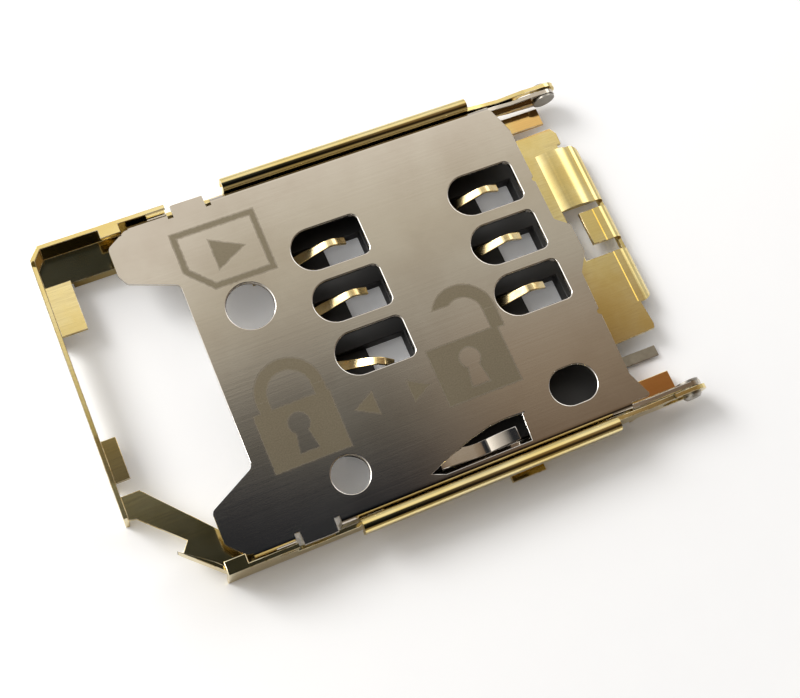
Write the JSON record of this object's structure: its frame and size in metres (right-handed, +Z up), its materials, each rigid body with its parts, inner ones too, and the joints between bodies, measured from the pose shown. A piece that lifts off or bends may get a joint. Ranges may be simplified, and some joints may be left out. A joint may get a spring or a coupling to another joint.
{
  "type": "sim card connector",
  "caption": "Low sheet-metal card connector: sliding, flip-up windowed cover over a moulded carrier with gold spring contacts, in a folded gold frame with hinge eyes and a finger opening.",
  "frame": {"origin": "centre of the part's bounding box on the circuit-board face, cover closed and unlocked", "axes": "+X along the card towards the hinge, +Y across the card, +Z up away from the circuit board"},
  "size_m": [0.0256, 0.0172, 0.0022],
  "materials": {
    "gold_sheet": "gold-plated stamped sheet, bright satin",
    "black_moulding": "moulded, slightly satin",
    "gold_spring": "gold-plated spring strip, polished",
    "switch_spring": "dull plated spring strip",
    "hinge_pin": "dull turned steel",
    "nickel_sheet": "nickel-plated stamped sheet, satin"
  },
  "bodies": {
    "base": {"frame": "gold_sheet", "carrier": "black_moulding", "contact_a1": "gold_spring", "contact_a2": "gold_spring", "contact_a3": "gold_spring", "contact_b1": "gold_spring", "contact_b2": "gold_spring", "contact_b3": "gold_spring", "detect_contact": "switch_spring"},
    "pins": {"pin_left": "hinge_pin", "pin_right": "hinge_pin"},
    "lid": {"cover": "nickel_sheet"}
  },
  "joints": [
    {"name": "lock_slide", "type": "slide", "parent": "base", "child": "pins", "axis": [-1, 0, 0], "range_m": [0, 0.001]},
    {"name": "cover_hinge", "type": "hinge", "parent": "pins", "child": "lid", "pos_m": [0.0121, 0, 0.0011], "axis": [0, 1, 0], "range_deg": [0, 100]}
  ]
}
